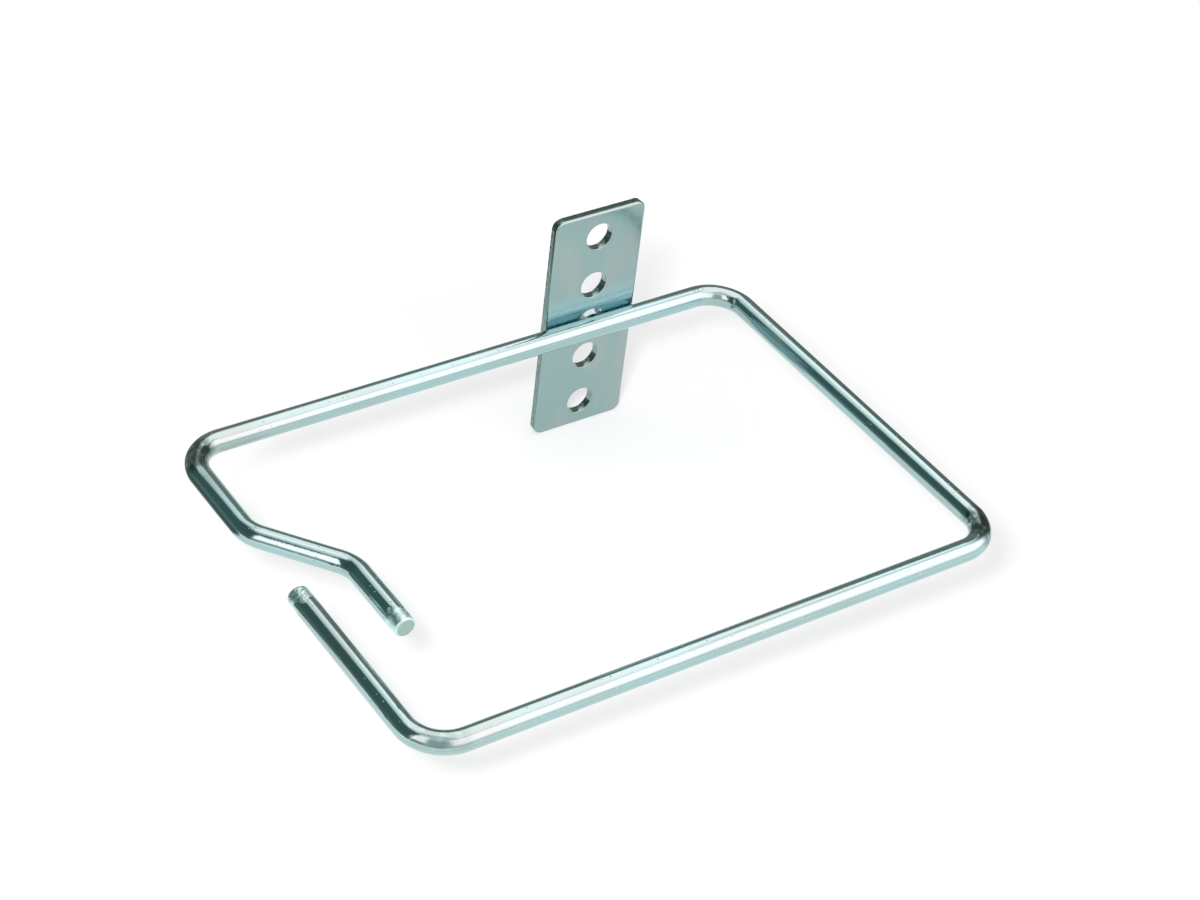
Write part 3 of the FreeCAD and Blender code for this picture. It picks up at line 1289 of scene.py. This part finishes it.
@dataclass(frozen=True)
class Softbox:
    """Soft lamp that lights the table; the metal mirrors the tent instead."""

    name: str
    bearing: Bearing
    distance: float
    wide: float
    tall: float
    radiance: float

    def build(self, middle: Vector) -> None:
        """Hang the lamp.

        Args:
            middle: the middle of the ring, which the lamp faces.
        """
        lamp = bpy.data.lights.new(self.name, "AREA")
        lamp.shape = "RECTANGLE"
        lamp.size = self.wide
        lamp.size_y = self.tall
        lamp.energy = self.radiance * math.pi * self.wide * self.tall
        box = bpy.data.objects.new(self.name, lamp)
        box.matrix_world = self.bearing.facing(middle, self.distance)
        box.visible_glossy = False
        bpy.context.scene.collection.objects.link(box)


@dataclass(frozen=True)
class TentPatch:
    """Part of the tent's wall that is brighter or darker than the rest, in degrees, with soft edges."""

    azimuths: Pair
    elevations: Pair
    tone: Triple
    azimuth_fades: Pair = (6.0, 6.0)
    elevation_fades: Pair = (5.0, 5.0)

    def share(self, sheet: NodeSheet, azimuth: Socket, elevation: Socket) -> Socket:
        """How much of a direction the patch covers, from nought to one."""
        across = sheet.band(azimuth, self.azimuths, self.azimuth_fades)
        return sheet.maths("MULTIPLY", across, sheet.band(elevation, self.elevations, self.elevation_fades))


@dataclass(frozen=True)
class LightTent:
    """White photographer's tent with lit and dark panels, which bright metal mirrors as its streaks."""

    radius: float = 0.55
    segments: Counts = (64, 32)
    white: Triple = (1.05, 1.05, 1.05)
    patches: tuple[TentPatch, ...] = (
        TentPatch((-50.0, 175.0), (60.0, 100.0), (2.0, 1.62, 1.65), (20.0, 6.0), (3.0, 3.0)),
        TentPatch((12.0, 84.0), (30.0, 100.0), (2.0, 1.70, 1.72), (22.0, 6.0)),
        TentPatch((103.0, 190.0), (11.0, 56.0), (2.5, 1.88, 1.90), (6.0, 6.0), (9.0, 4.0)),
        TentPatch((-190.0, -162.0), (11.0, 56.0), (2.5, 1.88, 1.90), (6.0, 6.0), (9.0, 4.0)),
        TentPatch((-160.0, -122.0), (-8.0, 50.0), (0.62, 0.66, 0.66), (14.0, 12.0), (3.0, 10.0)),
        TentPatch((-120.0, -97.0), (-8.0, 12.0), (0.5, 0.5, 0.5), (5.0, 4.0), (3.0, 3.0)),
        TentPatch((-120.0, -97.0), (12.0, 58.0), (2.4, 1.84, 1.87), (5.0, 4.0), (3.0, 4.0)),
        TentPatch((-97.0, -22.0), (-70.0, 60.0), (0.08, 0.14, 0.135), (4.0, 8.0), (9.0, 6.0)),
        TentPatch((-97.0, -22.0), (-14.0, 3.0), (0.20, 0.24, 0.23), (4.0, 8.0), (9.0, 12.0)),
        TentPatch((-22.0, 93.0), (-70.0, 40.0), (0.25, 0.27, 0.245), (8.0, 5.0)),
        TentPatch((48.0, 93.0), (-20.0, 44.0), (0.21, 0.22, 0.195)),
    )

    def build(self, middle: Vector) -> None:
        """Put up the tent, where only mirrored rays meet it.

        Args:
            middle: the middle of the ring, which the tent goes round.
        """
        bm = bmesh.new()
        around, down = self.segments
        bmesh.ops.create_uvsphere(bm, u_segments=around, v_segments=down, radius=self.radius)
        tent = new_object("light_tent", bm, [self.material()])
        tent.location = middle
        tent.visible_camera = False
        tent.visible_diffuse = False
        tent.visible_shadow = False
        tent.visible_transmission = False

    def material(self) -> bpy.types.Material:
        """Make the tent's wall glow, patch by patch.

        Returns:
            The material.
        """
        material = bpy.data.materials.new("tent_cloth")
        material.cycles.emission_sampling = "NONE"
        sheet = NodeSheet(material)
        place = sheet.place(Pattern.PLACE)
        outward = sheet.add("ShaderNodeVectorMath", {0: place}, operation="NORMALIZE").outputs["Vector"]
        axes = sheet.add("ShaderNodeSeparateXYZ", {"Vector": outward}).outputs
        azimuth = sheet.maths("DEGREES", sheet.maths("ARCTAN2", axes["X"], axes["Y"]))
        elevation = sheet.maths("DEGREES", sheet.maths("ARCSINE", axes["Z"]))
        tone = self.white
        for patch in self.patches:
            tone = sheet.mixed(patch.share(sheet, azimuth, elevation), tone, patch.tone)
        glow = sheet.add("ShaderNodeEmission", {"Color": tone})
        sheet.output("ShaderNodeOutputMaterial", glow.outputs[0])
        return material


@dataclass(frozen=True)
class Studio:
    """White surroundings, the table, the tent round it and a lamp for the shadows."""

    ambient: float = 0.6
    lamp: Softbox = Softbox(
        name="front_lamp",
        bearing=Bearing(-133.4, 42.8),
        distance=0.57,
        wide=0.08,
        tall=0.08,
        radiance=76.0,
    )

    def build(self, middle: Vector) -> None:
        """Set up and light the scene.

        Args:
            middle: the middle of the ring.
        """
        world = bpy.data.worlds.new("white_surroundings")
        bpy.context.scene.world = world
        sheet = NodeSheet(world)
        strength = sheet.span(seen_by_eye(sheet), RISE, (self.ambient, 1.0))
        white = sheet.add("ShaderNodeBackground", {"Strength": strength, "Color": (1.0, 1.0, 1.0, 1.0)})
        sheet.output("ShaderNodeOutputWorld", white.outputs[0])
        Table().build(middle)
        LightTent().build(middle)
        self.lamp.build(middle)
        log.info("table, tent and %s in place", self.lamp.name)


@dataclass(frozen=True)
class Viewpoint:
    """Camera at the photograph's viewing angle."""

    place: Vector = Vector((-304.81, -403.10, 358.64)) * MM
    aim: Vector = Vector((-23.20, -41.58, 0.0)) * MM
    roll: float = math.radians(7.457)
    focal_pixels: float = 2803.9
    image_wide: float = 1200.0
    sensor: float = 36.0

    def build(self) -> None:
        """Set the scene's camera."""
        data = bpy.data.cameras.new("camera")
        data.sensor_width = self.sensor
        data.lens = self.sensor * self.focal_pixels / self.image_wide
        forward = (self.aim - self.place).normalized()
        level = forward.cross(UP).normalized()
        lifted = level.cross(forward)
        across = level * math.cos(self.roll) + lifted * math.sin(self.roll)
        turned = Matrix((across, across.cross(forward), -forward)).transposed().to_4x4()
        camera = bpy.data.objects.new("camera", data)
        camera.matrix_world = Matrix.Translation(self.place) @ turned
        bpy.context.scene.collection.objects.link(camera)
        bpy.context.scene.camera = camera


def main() -> None:
    """Build the ring, its surroundings and the camera."""
    logging.basicConfig(level=logging.INFO, format="%(message)s")
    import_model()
    for piece in (WireRing, MountingPlate, WeldNugget):
        piece().dress()
    low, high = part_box(Node.WIRE.value)
    Studio().build(0.5 * (low + high))
    Viewpoint().build()
    bpy.context.scene.view_settings.view_transform = "Standard"


if __name__ == "__main__":
    main()
